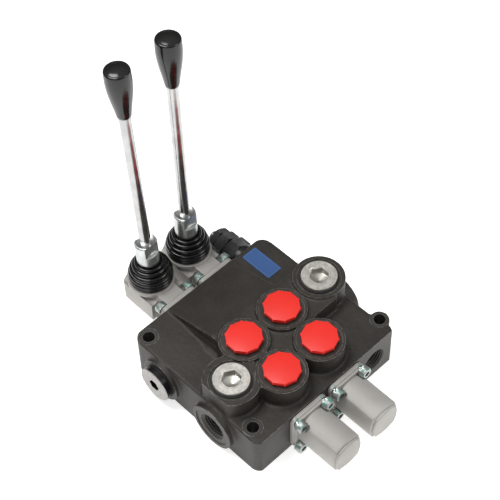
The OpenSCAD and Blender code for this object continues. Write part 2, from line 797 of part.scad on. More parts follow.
relief_lock_nut();
relief_adjusting_screw();
relief_spring();
relief_poppet();
relief_seat();
relief_seal();
name_plate();
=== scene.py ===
import math

import bmesh
import bpy
from mathutils import Matrix, Vector


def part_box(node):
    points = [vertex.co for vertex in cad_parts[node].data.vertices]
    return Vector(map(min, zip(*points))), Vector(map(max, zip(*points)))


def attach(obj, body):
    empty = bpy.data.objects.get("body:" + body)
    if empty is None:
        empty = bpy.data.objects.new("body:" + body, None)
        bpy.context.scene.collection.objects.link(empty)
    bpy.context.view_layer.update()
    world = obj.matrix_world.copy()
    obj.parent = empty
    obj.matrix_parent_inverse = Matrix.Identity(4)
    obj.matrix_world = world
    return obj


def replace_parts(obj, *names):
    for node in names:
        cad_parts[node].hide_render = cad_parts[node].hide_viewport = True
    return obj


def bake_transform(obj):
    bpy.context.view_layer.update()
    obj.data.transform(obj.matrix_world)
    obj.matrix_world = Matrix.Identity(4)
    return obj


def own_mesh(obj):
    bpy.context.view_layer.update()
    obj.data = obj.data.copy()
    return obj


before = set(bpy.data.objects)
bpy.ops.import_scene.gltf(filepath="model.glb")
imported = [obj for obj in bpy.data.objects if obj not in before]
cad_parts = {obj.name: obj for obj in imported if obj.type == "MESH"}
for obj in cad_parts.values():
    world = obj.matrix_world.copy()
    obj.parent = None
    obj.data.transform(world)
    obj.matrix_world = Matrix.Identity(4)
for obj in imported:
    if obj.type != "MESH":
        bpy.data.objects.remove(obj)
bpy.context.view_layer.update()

# Camera. It stands off the end-cap corner of the valve, on the -Y side, and looks down on the top
# of the casting. A long lens at just under a metre keeps the levers nearly parallel.
azimuth, elevation, roll = math.radians(47.08), math.radians(51.59), math.radians(-1.82)
reach = math.cos(elevation)
back = Vector((math.sin(azimuth) * reach, -math.cos(azimuth) * reach, math.sin(elevation)))
level = Vector((math.cos(azimuth), math.sin(azimuth), 0))
up = back.cross(level)
right = level * math.cos(roll) + up * math.sin(roll)
upward = up * math.cos(roll) - level * math.sin(roll)
bpy.ops.object.camera_add(location=(0.3806, -0.3799, 0.8234))
camera = bpy.context.object
camera.rotation_euler = Matrix((right, upward, back)).transposed().to_euler()
camera.data.sensor_width = 36
camera.data.lens = 103.03
camera.data.clip_start = 0.05
bpy.context.scene.camera = camera
bpy.context.scene.view_settings.view_transform = "Standard"


# Floor and light. A plain white floor, an even white room, and two large soft lamps over the valve.
class Signal:
    """What a node puts out inside a material. Plain arithmetic on signals adds Math nodes."""

    def __init__(self, tree, socket=None):
        self.tree, self.socket = tree, socket

    def node(self, kind, settings=None, inputs=None, output=0):
        """Adds a node: its settings come first, then the values or links of its sockets."""
        made = self.tree.nodes.new("ShaderNode" + kind)
        for name, value in (settings or {}).items():
            if name == "stops":
                ramp = made.color_ramp.elements
                for _ in value[2:]:
                    ramp.new(0.5)
                for stop, (place, colour) in zip(ramp, value):
                    stop.position, stop.color = place, (*colour, 1)
            else:
                setattr(made, name, value)
        for name, value in (inputs or {}).items():
            if isinstance(value, Signal):
                self.tree.links.new(value.socket, made.inputs[name])
            else:
                made.inputs[name].default_value = value
        return Signal(self.tree, made.outputs[output]) if len(made.outputs) else None

    def math(self, operation, first, second=0.0):
        return self.node("Math", {"operation": operation}, {0: first, 1: second})

    def __add__(self, other): return self.math("ADD", self, other)
    def __radd__(self, other): return self.math("ADD", other, self)
    def __sub__(self, other): return self.math("SUBTRACT", self, other)
    def __rsub__(self, other): return self.math("SUBTRACT", other, self)
    def __mul__(self, other): return self.math("MULTIPLY", self, other)

    def clamped(self, low, high):
        """0 below low, 1 above high, and a smooth rise between."""
        return self.node("MapRange", {"interpolation_type": "SMOOTHSTEP"}, {0: self, 1: low, 2: high})

    def tint(self, low, high):
        """Blends two colours, with this signal as the share of the second."""
        return self.node("Mix", {"data_type": "RGBA"}, {0: self, 6: low, 7: high}, 2)


def new_material(name):
    """An empty node material and the signal that its nodes hang on."""
    material = bpy.data.materials.new(name)
    material.use_nodes = True
    material.node_tree.nodes.clear()
    return material, Signal(material.node_tree)


def finish_material(root, bump=None, depth=0.0, **looks):
    """Closes a material with one glossy surface; bump is a height signal and depth its size in metres."""
    if bump is not None:
        looks["Normal"] = root.node("Bump", None, {"Height": bump, "Distance": depth, "Strength": 1.0})
    surface = root.node("BsdfPrincipled", None, {k.replace("_", " "): v for k, v in looks.items()})
    root.node("OutputMaterial", None, {"Surface": surface})


def floor_paint():
    material, root = new_material("floor_paint")
    place = root.node("TexCoord", output=3)
    mottle = root.node("TexNoise", None, {"Vector": place, "Scale": 3.0, "Detail": 3.0})
    finish_material(
        root, Base_Color=mottle.tint((0.90, 0.90, 0.90, 1), (0.93, 0.93, 0.925, 1)), Roughness=0.75,
        Emission_Color=(1, 1, 1, 1), Emission_Strength=0.66)
    return material


bpy.ops.object.select_all(action="DESELECT")
bpy.ops.mesh.primitive_plane_add(size=8)
floor = bpy.context.object
floor.name = "floor"
floor.data.materials.append(floor_paint())

world = bpy.data.worlds.new("room")
world.use_nodes = True
world.node_tree.nodes.clear()
room = Signal(world.node_tree)
height = room.node("SeparateXYZ", None, {0: room.node("TexCoord")}, "Z")
walls = room.node("ValToRGB", {"stops": [
    (0.0, (0.40, 0.40, 0.40)), (0.25, (0.18, 0.18, 0.18)),
    (0.55, (0.42, 0.42, 0.42)), (0.9, (1.0, 1.0, 1.0))]}, {0: height})
glow = room.node("Background", None, {"Color": walls, "Strength": 0.56})
room.node("OutputWorld", None, {"Surface": glow})
bpy.context.scene.world = world
for lamp_name, place, size, power in (
        ("key_lamp", (-0.45, -0.25, 1.3), 0.6, 10), ("front_lamp", (0.5, -1.1, 0.8), 0.6, 1.6),
        ("fill_lamp", (0.9, 0.6, 0.9), 0.5, 4.5)):
    bpy.ops.object.light_add(type="AREA", location=place)
    lamp = bpy.context.object
    lamp.name = lamp_name
    lamp.rotation_euler = Vector(place).to_track_quat("Z", "Y").to_euler()
    lamp.data.size, lamp.data.energy = size, power


# Casting. The monoblock is one iron casting with a dark phosphate skin. Rough blocks and bosses are
# melted into one for the soft cast corners, then its faces and bores are machined in crisp.
mm = 0.001
TURN = {"X": (0, math.pi / 2, 0), "Y": (-math.pi / 2, 0, 0), "Z": (0, 0, 0)}


def corners(node):
    """Lowest and highest corner of a CAD node's box, in millimetres."""
    low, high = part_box(node)
    return Vector(low) / mm, Vector(high) / mm


def middle(node):
    """Centre of a CAD node's box, in millimetres."""
    low, high = corners(node)
    return (low + high) / 2


def only(piece):
    """Selects one object alone and makes it active."""
    bpy.ops.object.select_all(action="DESELECT")
    piece.select_set(True)
    bpy.context.view_layer.objects.active = piece
    return piece


def settle(piece):
    """Puts the object's place into its mesh, so that the object itself sits at the origin."""
    only(piece)
    bpy.ops.object.transform_apply(location=True, rotation=True, scale=True)
    return piece


def block(low, high):
    """A box between two corners, in millimetres."""
    centre = [(a + b) / 2 * mm for a, b in zip(low, high)]
    sides = [(b - a) * mm for a, b in zip(low, high)]
    bpy.ops.mesh.primitive_cube_add(size=1, location=centre, scale=sides)
    return settle(bpy.context.object)


def bar(axis, start, end, across, radius, sides=96, spin=0.0):
    """A round or many-sided bar along an axis; across gives its other two places, all in millimetres."""
    centre = list(across)
    centre.insert("XYZ".index(axis), (start + end) / 2)
    bpy.ops.mesh.primitive_cylinder_add(vertices=sides, radius=radius * mm, depth=abs(end - start) * mm)
    piece = bpy.context.object
    piece.rotation_euler = (0, 0, math.radians(spin))
    settle(piece)
    piece.rotation_euler = TURN[axis]
    piece.location = [c * mm for c in centre]
    return settle(piece)


def turned(axis, across, steps, sides=96, spin=0.0, ring=False):
    """A turned piece: a disc drawn out through (radius, place) steps along an axis, in millimetres.

    A ring joins its last edge to its first, so that its bore is open."""
    radius, place = steps[0]
    bpy.ops.mesh.primitive_circle_add(vertices=sides, radius=radius * mm, fill_type="NGON")
    piece = bpy.context.object
    bpy.ops.object.mode_set(mode="EDIT")
    bpy.ops.transform.translate(value=(0, 0, place * mm))
    for next_radius, next_place in steps[1:]:
        rise = (next_place - place) * mm
        bpy.ops.mesh.extrude_region_move(TRANSFORM_OT_translate={"value": (0, 0, rise)})
        growth = next_radius / radius
        bpy.ops.transform.resize(value=(growth, growth, 1))
        radius, place = next_radius, next_place
    if ring:
        bpy.ops.mesh.select_all(action="DESELECT")
        mesh = bmesh.from_edit_mesh(piece.data)
        for face in mesh.faces:
            face.select_set(len(face.verts) > 4)
        bmesh.update_edit_mesh(piece.data)
        bpy.ops.mesh.delete(type="ONLY_FACE")
        bpy.ops.mesh.select_all(action="DESELECT")
        bpy.ops.mesh.select_mode(type="EDGE")
        bpy.ops.mesh.select_non_manifold()
        bpy.ops.mesh.bridge_edge_loops()
    bpy.ops.mesh.select_all(action="SELECT")
    bpy.ops.mesh.normals_make_consistent(inside=False)
    bpy.ops.object.mode_set(mode="OBJECT")
    piece.rotation_euler = (0, 0, math.radians(spin))
    settle(piece)
    piece.rotation_euler = TURN[axis]
    centre = [c * mm for c in across]
    centre.insert("XYZ".index(axis), 0)
    piece.location = centre
    return settle(piece)


def thread(axis, across, start, end, crest, root, pitch):
    """A bar with thread-like ridges along its length, to cut a tapped hole or to make a stud."""
    steps = [(crest, start)]
    count = int(abs(end - start) / pitch)
    way = pitch if end > start else -pitch
    for turn in range(count):
        place = start + way * turn
        steps += [(root, place + way * 0.45), (root, place + way * 0.6), (crest, place + way * 0.98)]
    return turned(axis, across, steps + [(crest, end)], sides=72)


def shape(piece, element, wanted, operator, **settings):
    """Runs one edit-mode operator on the edges or faces picked by their middle, in mm, and direction."""
    only(piece)
    bpy.ops.object.mode_set(mode="EDIT")
    bpy.ops.mesh.select_mode(type=element)
    bpy.ops.mesh.select_all(action="DESELECT")
    mesh = bmesh.from_edit_mesh(piece.data)
    mesh.normal_update()
    for item in mesh.faces if element == "FACE" else mesh.edges:
        if element == "FACE":
            item.select_set(wanted(item.calc_center_median() / mm, item.normal))
        else:
            a, b = (vertex.co for vertex in item.verts)
            item.select_set(wanted((a + b) / 2 / mm, (b - a).normalized()))
    mesh.select_flush_mode()
    bmesh.update_edit_mesh(piece.data)
    operator(**settings)
    bpy.ops.object.mode_set(mode="OBJECT")
    return piece


def round_edges(piece, wanted, radius, segments):
    """Rounds the picked edges to a radius in millimetres."""
    return shape(piece, "EDGE", wanted, bpy.ops.mesh.bevel,
                 offset=radius * mm, segments=segments, affect="EDGES")


def wedge(low, high, reach, drop):
    """A block drawn out on its lever side; the top edge of the drawn end moves by drop, in millimetres."""
    piece = block(low, high)
    shape(piece, "FACE", lambda at, way: way.x < -0.9, bpy.ops.mesh.extrude_region_move,
          TRANSFORM_OT_translate={"value": (-reach * mm, 0, 0)})
    return shape(piece, "EDGE", lambda at, way: at.x < low[0] - reach + 1 and at.z > high[2] - 1,
                 bpy.ops.transform.translate, value=(0, 0, drop * mm))


def modify(piece, kind, **settings):
    """Adds a modifier and applies it."""
    only(piece)
    modifier = piece.modifiers.new(kind, kind)
    for name, value in settings.items():
        setattr(modifier, name, value)
    bpy.ops.object.modifier_apply(modifier=modifier.name)
    return piece


def join(pieces):
    """Makes one object of several."""
    only(pieces[0])
    for piece in pieces:
        piece.select_set(True)
    bpy.ops.object.join()
    return pieces[0]


def coat(piece, *materials):
    """Gives a piece its materials, in place of any that it has."""
    piece.data.materials.clear()
    for material in materials:
        piece.data.materials.append(material)
    return piece


def cut(piece, cutters, skin=0, operation="DIFFERENCE"):
    """Cuts each cutter out of the piece; the cut faces take the piece's material number skin."""
    for cutter in cutters:
        cutter.data.materials.clear()
        for material in piece.data.materials:
            cutter.data.materials.append(material)
        for face in cutter.data.polygons:
            face.material_index = skin
        modify(piece, "BOOLEAN", object=cutter, operation=operation, solver="MANIFOLD")
        bpy.data.objects.remove(cutter)
    return piece


def fuse(pieces):
    """Melts overlapping pieces of one body into a single closed skin."""
    return cut(pieces[0], pieces[1:], operation="UNION")


def smooth(piece, angle=35):
    """Smooth shading, with edges kept crisp above an angle in degrees."""
    only(piece)
    bpy.ops.object.shade_smooth_by_angle(angle=math.radians(angle))
    return piece


def edge_wear(root, reach, low, high):
    """A mask of sharp edges: where the surface bent over a reach in metres leaves the true surface."""
    bent = root.node("Bevel", {"samples": 6}, {"Radius": reach})
    true = root.node("NewGeometry", output=1)
    close = root.node("VectorMath", {"operation": "DOT_PRODUCT"}, {0: bent, 1: true}, "Value")
    return (1.0 - close).clamped(low, high)


def cast_skin():
    """Phosphated iron: fine sand grain, cloudy patches and rubbed, lighter edges."""
    material, root = new_material("phosphated_casting")
    place = root.node("TexCoord", output=3)
    sand = root.node("TexNoise", None, {"Vector": place, "Scale": 1500.0, "Detail": 3.0, "Roughness": 0.6})
    lumps = root.node("TexNoise", None, {"Vector": place, "Scale": 260.0, "Detail": 4.0, "Roughness": 0.55})
    clouds = root.node("TexNoise", None, {"Vector": place, "Scale": 38.0, "Detail": 5.0, "Roughness": 0.6})
    wear = edge_wear(root, 0.0007, 0.012, 0.14) * lumps.clamped(0.40, 0.54)
    base = clouds.clamped(0.3, 0.7).tint((0.024, 0.0205, 0.016, 1), (0.040, 0.0345, 0.0275, 1))
    speckled = (sand.clamped(0.60, 0.72) * 0.4).tint(base, (0.11, 0.10, 0.088, 1))
    finish_material(
        root, bump=sand * 0.5 + lumps, depth=0.00030,
        Base_Color=(wear * 0.9).tint(speckled, (0.33, 0.315, 0.285, 1)),
        Roughness=0.42 + clouds * 0.18 - wear * 0.12, Metallic=0.2 + wear * 0.4)
    return material


def machined_iron(name, dark, light, metal):
    """Milled and bored iron with fine tool marks and a little oil stain."""
    material, root = new_material(name)
    place = root.node("TexCoord", output=3)
    stretched = root.node("Mapping", None, {"Vector": place, "Scale": (1.0, 0.06, 1.0)})
    lines = root.node("TexNoise", None, {"Vector": stretched, "Scale": 2600.0, "Detail": 2.0})
    stain = root.node("TexNoise", None, {"Vector": place, "Scale": 55.0, "Detail": 5.0})
    wear = edge_wear(root, 0.0006, 0.02, 0.2)
    shade = (stain.clamped(0.35, 0.7) * 0.6 + lines * 0.4).tint(dark, light)
    finish_material(
        root, bump=lines, depth=0.00004, Base_Color=(wear * 0.8).tint(shade, (0.34, 0.33, 0.31, 1)),
        Roughness=0.36 + stain * 0.2, Metallic=metal)
    return material


body_low, body_high = corners("valve_body")
ports = [middle(f"port_cap_{port}") for port in ("a1", "b1", "a2", "b2")]
front_plug, rear_plug = top_plugs = middle("front_top_plug"), middle("rear_top_plug")
side_plug, rear_side = middle("side_plug"), middle("rear_side_plug")
relief = middle("relief_cartridge")
spools = [middle("spool_1"), middle("spool_2")]
spool_z = spools[0].z
lever_face, end_face = body_low.x, body_high.x
front_wall, rear_wall, rear_low_wall = -62, 64.5, 61.5
deck, web, plug_boss, port_boss = 35, 47.5, 49, body_high.z
tank_port = Vector((1, body_low.y, spool_z))
inlet = Vector((end_face, 48, spool_z - 1.5))
tank_line, side_line, rear_line = ((port.x, spool_z) for port in (tank_port, side_plug, rear_side))
mounting_holes = ((-72.5, -54), (27.5, -54), (27.5, 66))
# The cast skin left on for machining, a height over the bosses, and a distance beyond every face
stock, above, far = 0.8, 60, 200

slab = block((lever_face - stock, front_wall, -3), (end_face + stock, rear_low_wall, deck))
round_edges(slab, lambda at, way: abs(way.z) > 0.9 and at.x < 0, 8.5, 10)
round_edges(slab, lambda at, way: abs(way.z) > 0.9 and at.x > 38, 7, 8)
rear_slab = block((-32, 40, -3), (end_face + stock, rear_wall, deck))
round_edges(rear_slab, lambda at, way: abs(way.z) > 0.9 and at.y > 60, 4, 6)
lug = block((mounting_holes[2][0], 50, -3), (end_face + 2 * stock, rear_wall + 2.4, deck))
round_edges(lug, lambda at, way: abs(way.z) > 0.9 and at.y > 60 and at.x > 38, 6, 8)
# The raised middle runs down to the deck at its lever end, with softer slopes beside it
ramp = wedge((-36, -30, 10), (17.5, 30, web), 44, deck - web + 0.2)
apron = wedge((-36, -34.5, 10), (-10, -20, web - 5), 44, deck - web + 5)
shape(apron, "EDGE", lambda at, way: abs(way.x) > 0.9 and at.y < -34 and at.z > 25,
      bpy.ops.transform.translate, value=(0, 0, -7 * mm))
shoulder = wedge((-18, -31, 10), (0, -1, deck + 7), 46, -7)
front_boss = bar("Z", 5, plug_boss + 3, front_plug.xy, 19.4)
shape(front_boss, "FACE", lambda at, way: True, bpy.ops.mesh.bisect,
      plane_co=(0, -60.5 * mm, 0), plane_no=(0, -1, 0), use_fill=True, clear_outer=True)
blanks = [slab, rear_slab, lug, ramp, apron, shoulder, front_boss, block((-36, 10, 10), (1, 52, web))]
blanks += [bar("Z", 5, port_boss + 3, port.xy, 17.3) for port in ports]
blanks += [
    bar("Z", 5, plug_boss + 3, rear_plug.xy, 18.1), bar("Z", -3, deck, mounting_holes[2], 6.9),
    bar("Y", tank_port.y - stock, -40, tank_line, 17.5), bar("Y", tank_port.y + 0.2, -40, side_line, 16.2),
    bar("Y", 45, body_high.y + 2, rear_line, 17.7)]
casting = join(blanks)
casting.name = "monoblock_casting"
modify(casting, "REMESH", mode="VOXEL", voxel_size=0.75 * mm, adaptivity=0.0)
modify(casting, "SMOOTH", factor=0.5, iterations=10)
modify(casting, "DECIMATE", ratio=0.3)
coat(casting, cast_skin(),
     machined_iron("blackened_cuts", (0.034, 0.031, 0.027, 1), (0.062, 0.058, 0.052, 1), 0.3),
     machined_iron("bare_cuts", (0.17, 0.163, 0.153, 1), (0.32, 0.31, 0.295, 1), 0.75))

# The bosses are faced off flat, the two plug bosses a little lower than the ports
facing = [bar("Z", plug_boss, plug_boss + 10, plug.xy, 20.5) for plug in top_plugs]
for cutter in facing:
    cut(cutter, [bar("Z", plug_boss - 1, plug_boss + 11, port.xy, 17.25) for port in ports])
cut(casting, [block((-far, -far, port_boss), (far, far, far))] + facing)
side_face = corners("side_plug")[0].y + 5.5
spool_r, port_r, plug_r, hole_r, check_x = 8.04, 9.3, 9.8, 4.25, -38
cut(casting, [
    block((-far, -far, -20), (far, far, 0)), block((end_face, -far, -far), (far, far, far)),
    block((-far, -far, -far), (lever_face, far, far)),
    bar("Y", tank_port.y - 5, tank_port.y, tank_line, 19),
    bar("Y", tank_port.y - 5, tank_port.y + 0.7, tank_line, 14.9),
    turned("Y", tank_line, [(11.9, tank_port.y - 1), (9.9, tank_port.y + 1.9), (8, tank_port.y + 2.1)]),
    bar("Y", side_face - 9, side_face, side_line, 17.5),
    block((-far, body_high.y, -far), (far, far, far))], skin=1)
cut(casting, [bar("Z", deck - 0.5, deck + 8, hole, 6.8) for hole in mounting_holes], skin=1)
cut(casting, [bar("Z", port_boss - 0.5, port_boss + 5, port.xy, 15.4) for port in ports], skin=1)
cut(casting, [bar("Z", plug_boss - 1, plug_boss + 5, plug.xy, 15.2) for plug in top_plugs], skin=1)
cut(casting, [bar("Z", -5, above, hole, hole_r) for hole in mounting_holes], skin=1)
# Spool bores, work ports, plug bores, side ports and the bore of the relief valve
cut(casting, [bar("X", lever_face - 1, end_face + 1, spool.yz, spool_r) for spool in spools], skin=2)
cut(casting, [bar("Z", spool_z, above, port.xy, port_r) for port in ports], skin=2)
cut(casting, [bar("Z", 9, above, front_plug.xy, plug_r), bar("Z", 9, above, rear_plug.xy, 7),
              bar("Z", 26, above, rear_plug.xy, plug_r)], skin=2)
cut(casting, [
    bar("Y", tank_port.y + 16, front_plug.y, tank_line, port_r),
    bar("Y", side_face - 5, -42, side_line, port_r),
    bar("Y", 56, body_high.y + 1, rear_line, port_r),
    bar("X", lever_face - 1, -60, relief.yz, 8.9), bar("X", -61, check_x, relief.yz, 7)], skin=2)
# Tapped tank port and inlet
thread_deep, thread_pitch = 16, 1.8
cut(casting, [
    thread("Y", tank_line, tank_port.y + 1, tank_port.y + 1 + thread_deep, 9.3, 10.2, thread_pitch),
    turned("X", inlet.yz, [(10.4, end_face + 0.5), (9.4, end_face - 0.5), (7, end_face - 0.8)]),
    thread("X", inlet.yz, end_face, end_face - thread_deep, 9.0, 9.7, thread_pitch),
    bar("X", rear_plug.x, end_face - 15, inlet.yz, 6)], skin=1)
smooth(casting, 32)
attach(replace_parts(casting, "valve_body"), "valve")


# Spools and inner parts. Ground spools, their wiper rings, pins, springs, seats and poppets sit inside
# the casting and the caps. They keep their own shapes and only get their finishes here.
def drawn_steel(name, dark, light, rough, metal=1.0, scale=(1.0, 1.0, 1.0), grain=900.0, wear_tint=None):
    """Steel in any finish: fine drawn or ground lines, faint smears and brighter edges."""
    material, root = new_material(name)
    place = root.node("TexCoord", output=3)
    stretched = root.node("Mapping", None, {"Vector": place, "Scale": scale})
    lines = root.node("TexNoise", None, {"Vector": stretched, "Scale": grain, "Detail": 3.0})
    smears = root.node("TexNoise", None, {"Vector": place, "Scale": 90.0, "Detail": 4.0})
    shade = (lines * 0.4 + smears.clamped(0.3, 0.7) * 0.6).tint(dark, light)
    wear = edge_wear(root, 0.0003, 0.04, 0.4)
    finish_material(
        root, bump=lines, depth=0.000012, Base_Color=(wear * 0.7).tint(shade, wear_tint or light),
        Roughness=rough + smears * 0.14, Metallic=metal)
    return material


def soft_rubber(name, shade, rough):
    """Black rubber with a faint mould grain and a dusting in soft patches."""
    material, root = new_material(name)
    place = root.node("TexCoord", output=3)
    grain = root.node("TexNoise", None, {"Vector": place, "Scale": 1800.0, "Detail": 3.0})
    dust = root.node("TexNoise", None, {"Vector": place, "Scale": 120.0, "Detail": 5.0})
    dusted = (dust.clamped(0.55, 0.85) * 0.12).tint(shade, (0.04, 0.038, 0.036, 1))
    finish_material(
        root, bump=grain, depth=0.00003, Base_Color=dusted,
        Roughness=rough + dust * 0.14, Specular_IOR_Level=0.45)
    return material


ground = drawn_steel("ground_steel", (0.42, 0.42, 0.43, 1), (0.62, 0.62, 0.63, 1), 0.16, scale=(0.05, 1, 1))
spring_wire = drawn_steel("spring_wire", (0.12, 0.12, 0.125, 1), (0.26, 0.26, 0.27, 1), 0.3)
seal_black = soft_rubber("seal_rubber", (0.012, 0.012, 0.012, 1), 0.5)
black_oxide = drawn_steel(
    "black_oxide", (0.008, 0.008, 0.008, 1), (0.018, 0.018, 0.018, 1), 0.26, 0.6,
    wear_tint=(0.16, 0.16, 0.16, 1))
inner_parts = {
    ground: ("spool_1", "spool_2", "lever_pin_1", "lever_pin_2", "inlet_check_poppet", "relief_poppet",
             "relief_seat"),
    spring_wire: ("centring_spring_1", "centring_spring_2", "inner_spring_seat_1", "inner_spring_seat_2",
                  "outer_spring_seat_1", "outer_spring_seat_2"),
    seal_black: ("front_spool_seals", "rear_spool_seals", "top_plug_seals", "side_plug_seal", "relief_seal"),
    black_oxide: ("spool_bolt_1", "spool_bolt_2")}
for material, names in inner_parts.items():
    for name in names:
        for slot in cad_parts[name].material_slots:
            slot.material = material


# Check and relief springs. Both are wound from round spring wire and sit between a poppet and a fixed end.
# Each coil is copied, cleaned of doubled points and fixed to the valve body.
def twin(piece):
    """A copy of an object, with a mesh of its own."""
    copy = piece.copy()
    copy.data = piece.data.copy()
    bpy.context.collection.objects.link(copy)
    return copy


# Each spring: the joint that presses it, its axis, the corner of its fixed end, and the lift in mm
springs = (("inlet_check_spring", "inlet_check_lift", 2, 1, 3),
           ("relief_spring", "relief_poppet_lift", 0, 0, 2))
for name, joint, along, fixed, lift in springs:
    limits = corners(name)
    coil = only(twin(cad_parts[name]))
    bpy.ops.object.mode_set(mode="EDIT")
    bpy.ops.mesh.select_all(action="SELECT")
    bpy.ops.mesh.remove_doubles(threshold=0.001 * mm)
    bpy.ops.object.mode_set(mode="OBJECT")
    coil.name = name + "_wire"
    coat(coil, spring_wire)
    smooth(coil, 50)
    anchor = middle(name)
    anchor[along] = limits[fixed][along]
    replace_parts(coil, name)
    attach(coil, "valve")
    [float(i == along) for i in range(3)]
    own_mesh(coil)


# Lever housings. Each is a small aluminium die casting with a square flange. Two key grooves run
# beside its raised top, so that the flange screws can be reached from the lever end.
def die_cast(name, spots=()):
    """Tumbled aluminium: fine satin grain, cloudy sheen, rubbed edges, and teal marks at some screws."""
    material, root = new_material(name)
    place = root.node("TexCoord", output=3)
    grain = root.node("TexNoise", None, {"Vector": place, "Scale": 1300.0, "Detail": 3.0, "Roughness": 0.6})
    pits = root.node("TexNoise", None, {"Vector": place, "Scale": 420.0, "Detail": 4.0})
    clouds = root.node("TexNoise", None, {"Vector": place, "Scale": 45.0, "Detail": 5.0})
    wear = edge_wear(root, 0.0006, 0.04, 0.4)
    sheen = clouds.clamped(0.3, 0.7) * 0.6 + grain * 0.4
    base = sheen.tint((0.40, 0.385, 0.36, 1), (0.52, 0.505, 0.48, 1))
    base = (wear * 0.6).tint(base, (0.66, 0.65, 0.63, 1))
    mark = None
    for spot in spots:
        centre = [c * mm for c in spot]
        reach = root.node("VectorMath", {"operation": "DISTANCE"}, {0: place, 1: centre}, "Value")
        near = 1.0 - (reach + pits * 0.004).clamped(0.0028, 0.0034)
        mark = near if mark is None else mark + near
    paint = 0.0
    if mark is not None:
        paint = mark.math("MINIMUM", mark, 0.7) * pits.clamped(0.38, 0.5)
        base = paint.tint(base, (0.04, 0.30, 0.23, 1))
    finish_material(
        root, bump=grain * 0.5 + pits, depth=0.00010, Base_Color=base,
        Roughness=0.58 + clouds * 0.12, Metallic=0.5 - paint * 0.4)
    return material


def soften(piece, voxel, rounds, keep):
    """Melts joined blanks into one casting with soft corners."""
    modify(piece, "REMESH", mode="VOXEL", voxel_size=voxel * mm, adaptivity=0.0)
    modify(piece, "SMOOTH", factor=0.5, iterations=rounds)
    return modify(piece, "DECIMATE", ratio=keep)


def screw_places(spool):
    """The four screw places of the square flange round a spool, in millimetres."""
    return [(spool.y + side * screw_half, spool_z + up_down * screw_half)
            for side in (-1, 1) for up_down in (-1, 1)]


screw_half, flange_half, flange_thick, tapped_r = 12.25, 15.5, 4.5, 2.5
ear_half, ear_away, ear_r = 1.75, 8.25, 5.4
for number, spool in enumerate(spools, 1):
    low, high = corners(f"lever_housing_{number}")
    pivot = middle(f"lever_pin_{number}")
    y = spool.y
    flange = block((lever_face - flange_thick, y - flange_half, spool_z - flange_half),
                   (lever_face, y + flange_half, spool_z + flange_half))
    round_edges(flange, lambda at, way: abs(way.x) > 0.9, 4, 6)
    neck = block((pivot.x + 13, y - 8, 6), (lever_face - 3, y + 8, 31.4))
    body = block((low.x, y - 14.5, 3), (pivot.x + 16, y + 14.5, 31))
    round_edges(body, lambda at, way: abs(way.z) > 0.9 and at.x < pivot.x, 5, 6)
    round_edges(body, lambda at, way: abs(way.x) > 0.9 and at.z < 10, 8, 6)
    pad = turned("Z", pivot.xy, [(15.9, 29), (16.6, 29.6), (16.6, 32), (16.1, 32.5)])
    ear_sides = [(y + side * ear_away - ear_half, y + side * ear_away + ear_half) for side in (-1, 1)]
    ears = [block((pivot.x - ear_r, near, 25), (pivot.x + ear_r, away, pivot.z)) for near, away in ear_sides]
    ears += [bar("Y", near, away, (pivot.x, pivot.z), ear_r) for near, away in ear_sides]
    housing = soften(join([flange, neck, body]), 0.42, 1, 0.4)
    holes = screw_places(spool)
    cut(housing, [bar("X", low.x - 2, lever_face - flange_thick, hole, 4.6) for hole in holes])
    fuse([housing, pad] + ears)
    housing.name = f"lever_housing_casting_{number}"
    spots = [(lever_face - flange_thick, y + side * screw_half, 33.5) for side in (-1, 1)]
    coat(housing, die_cast(f"die_cast_housing_{number}", spots))
    cut(housing, [
        block((lever_face, -far, -far), (far, far, far)),
        bar("X", low.x + 3, lever_face + 1, spool.yz, 8.6), bar("Z", 10, 40, pivot.xy, 6.4),
        block((pivot.x - 9, y - 6.5, 16), (pivot.x + 9, y + 6.5, 45)),
        bar("Y", y - 14, y + 14, (pivot.x, pivot.z), 3.0)])
    cut(housing, [bar("X", lever_face - 6, lever_face + 1, hole, tapped_r) for hole in holes])
    smooth(housing, 30)
    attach(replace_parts(housing, f"lever_housing_{number}"), "valve")


# Flange screws. Sixteen zinc-plated socket-head screws, M5, with knurled heads. One is turned and
# broached, and the others are copies. A dab of teal torque paint sits on the upper heads.
def plated(name):
    """Bright zinc with a cool sheen, and torque paint on the upward side of some places."""
    material, root = new_material(name)
    place = root.node("TexCoord", output=3)
    topside = root.node("SeparateXYZ", None, {0: root.node("NewGeometry", output=1)}, "Z")
    haze = root.node("TexNoise", None, {"Vector": place, "Scale": 260.0, "Detail": 4.0})
    dabs = root.node("TexNoise", None, {"Vector": place, "Scale": 330.0, "Detail": 2.0})
    paint = dabs.clamped(0.56, 0.60) * topside.clamped(0.2, 0.5)
    zinc = haze.tint((0.30, 0.33, 0.32, 1), (0.54, 0.57, 0.55, 1))
    finish_material(
        root, bump=haze, depth=0.00002, Base_Color=(paint * 0.8).tint(zinc, (0.05, 0.36, 0.27, 1)),
        Roughness=0.30 + haze * 0.12, Metallic=0.9 - paint * 0.7)
    return material


def hexagon(axis, start, end, across, flats):
    """A six-sided bar, given its width across flats."""
    return bar(axis, start, end, across, flats / 2 / math.cos(math.pi / 6), sides=6, spin=30)


